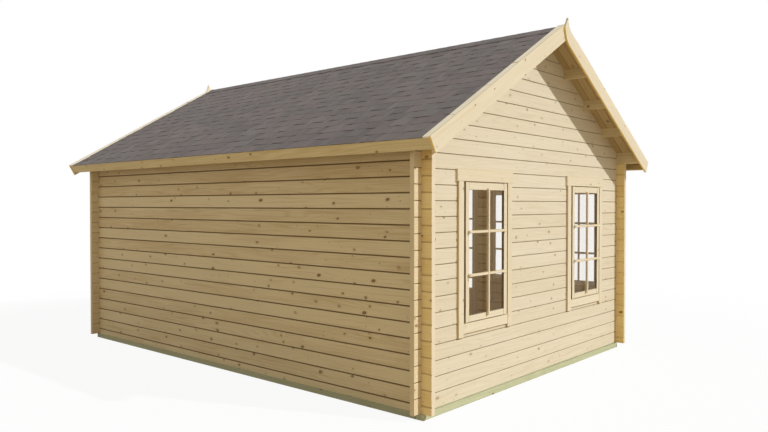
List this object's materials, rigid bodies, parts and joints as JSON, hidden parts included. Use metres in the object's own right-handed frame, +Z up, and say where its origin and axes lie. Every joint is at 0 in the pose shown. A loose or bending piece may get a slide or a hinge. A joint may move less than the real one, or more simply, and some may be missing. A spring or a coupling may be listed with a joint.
{
  "type": "log cabin",
  "caption": "Rectangular notched-log garden cabin with a gabled shingle roof, glazed sash windows and an outward-opening glazed double door.",
  "frame": {"origin": "middle of the footprint at ground level", "axes": "+Z up, +Y along the ridge away from the window gable, +X out through the double door"},
  "size_m": [4.2998, 5.868, 3.5195],
  "materials": {
    "log_wood": "planed, untreated spruce",
    "trim_wood": "planed, untreated spruce",
    "roof_wood": "planed, untreated spruce",
    "floor_wood": "planed, untreated spruce",
    "beam_wood": "pressure-treated, green",
    "shingle": "mineral-coated bitumen shingle",
    "pane": "clear",
    "hinge_steel": "zinc plated"
  },
  "bodies": {
    "cabin": {"long_beams": "beam_wood", "gable_beams": "beam_wood", "floor_joists": "beam_wood", "floor_boards": "floor_wood", "back_wall_logs_a": "log_wood", "back_wall_logs_b": "log_wood", "back_eaves_log": "log_wood", "front_wall_logs_a": "log_wood", "front_wall_logs_b": "log_wood", "front_eaves_log": "log_wood", "window_gable_logs_a": "log_wood", "window_gable_logs_b": "log_wood", "plain_gable_logs_a": "log_wood", "plain_gable_logs_b": "log_wood", "ridge_purlin": "log_wood", "back_purlins": "log_wood", "front_purlins": "log_wood", "back_roof_boards": "roof_wood", "front_roof_boards": "roof_wood", "back_shingles": "shingle", "front_shingles": "shingle", "ridge_shingles": "shingle", "fascia_boards": "trim_wood", "window_gable_back_barge": "trim_wood", "window_gable_front_barge": "trim_wood", "plain_gable_back_barge": "trim_wood", "plain_gable_front_barge": "trim_wood", "back_battens": "trim_wood", "front_battens": "trim_wood", "window_linings": "trim_wood", "window_casings": "trim_wood", "window_sashes": "trim_wood", "window_glass": "pane", "door_threshold": "floor_wood", "door_jambs": "trim_wood", "door_head": "trim_wood", "door_side_casings": "trim_wood", "door_head_casing": "trim_wood", "door_frame_hinges": "hinge_steel"},
    "near_leaf_body": {"near_leaf": "trim_wood", "near_leaf_glass": "pane", "near_leaf_hinges": "hinge_steel"},
    "far_leaf_body": {"far_leaf": "trim_wood", "far_leaf_glass": "pane", "far_leaf_hinges": "hinge_steel", "door_handle": "hinge_steel"}
  },
  "joints": [
    {"name": "near_leaf_hinge", "type": "hinge", "parent": "cabin", "child": "near_leaf_body", "pos_m": [1.948, -0.6475, 1], "axis": [0, 0, -1], "range_deg": [0, 110]},
    {"name": "far_leaf_hinge", "type": "hinge", "parent": "cabin", "child": "far_leaf_body", "pos_m": [1.948, 0.6475, 1], "axis": [0, 0, 1], "range_deg": [0, 110]}
  ]
}
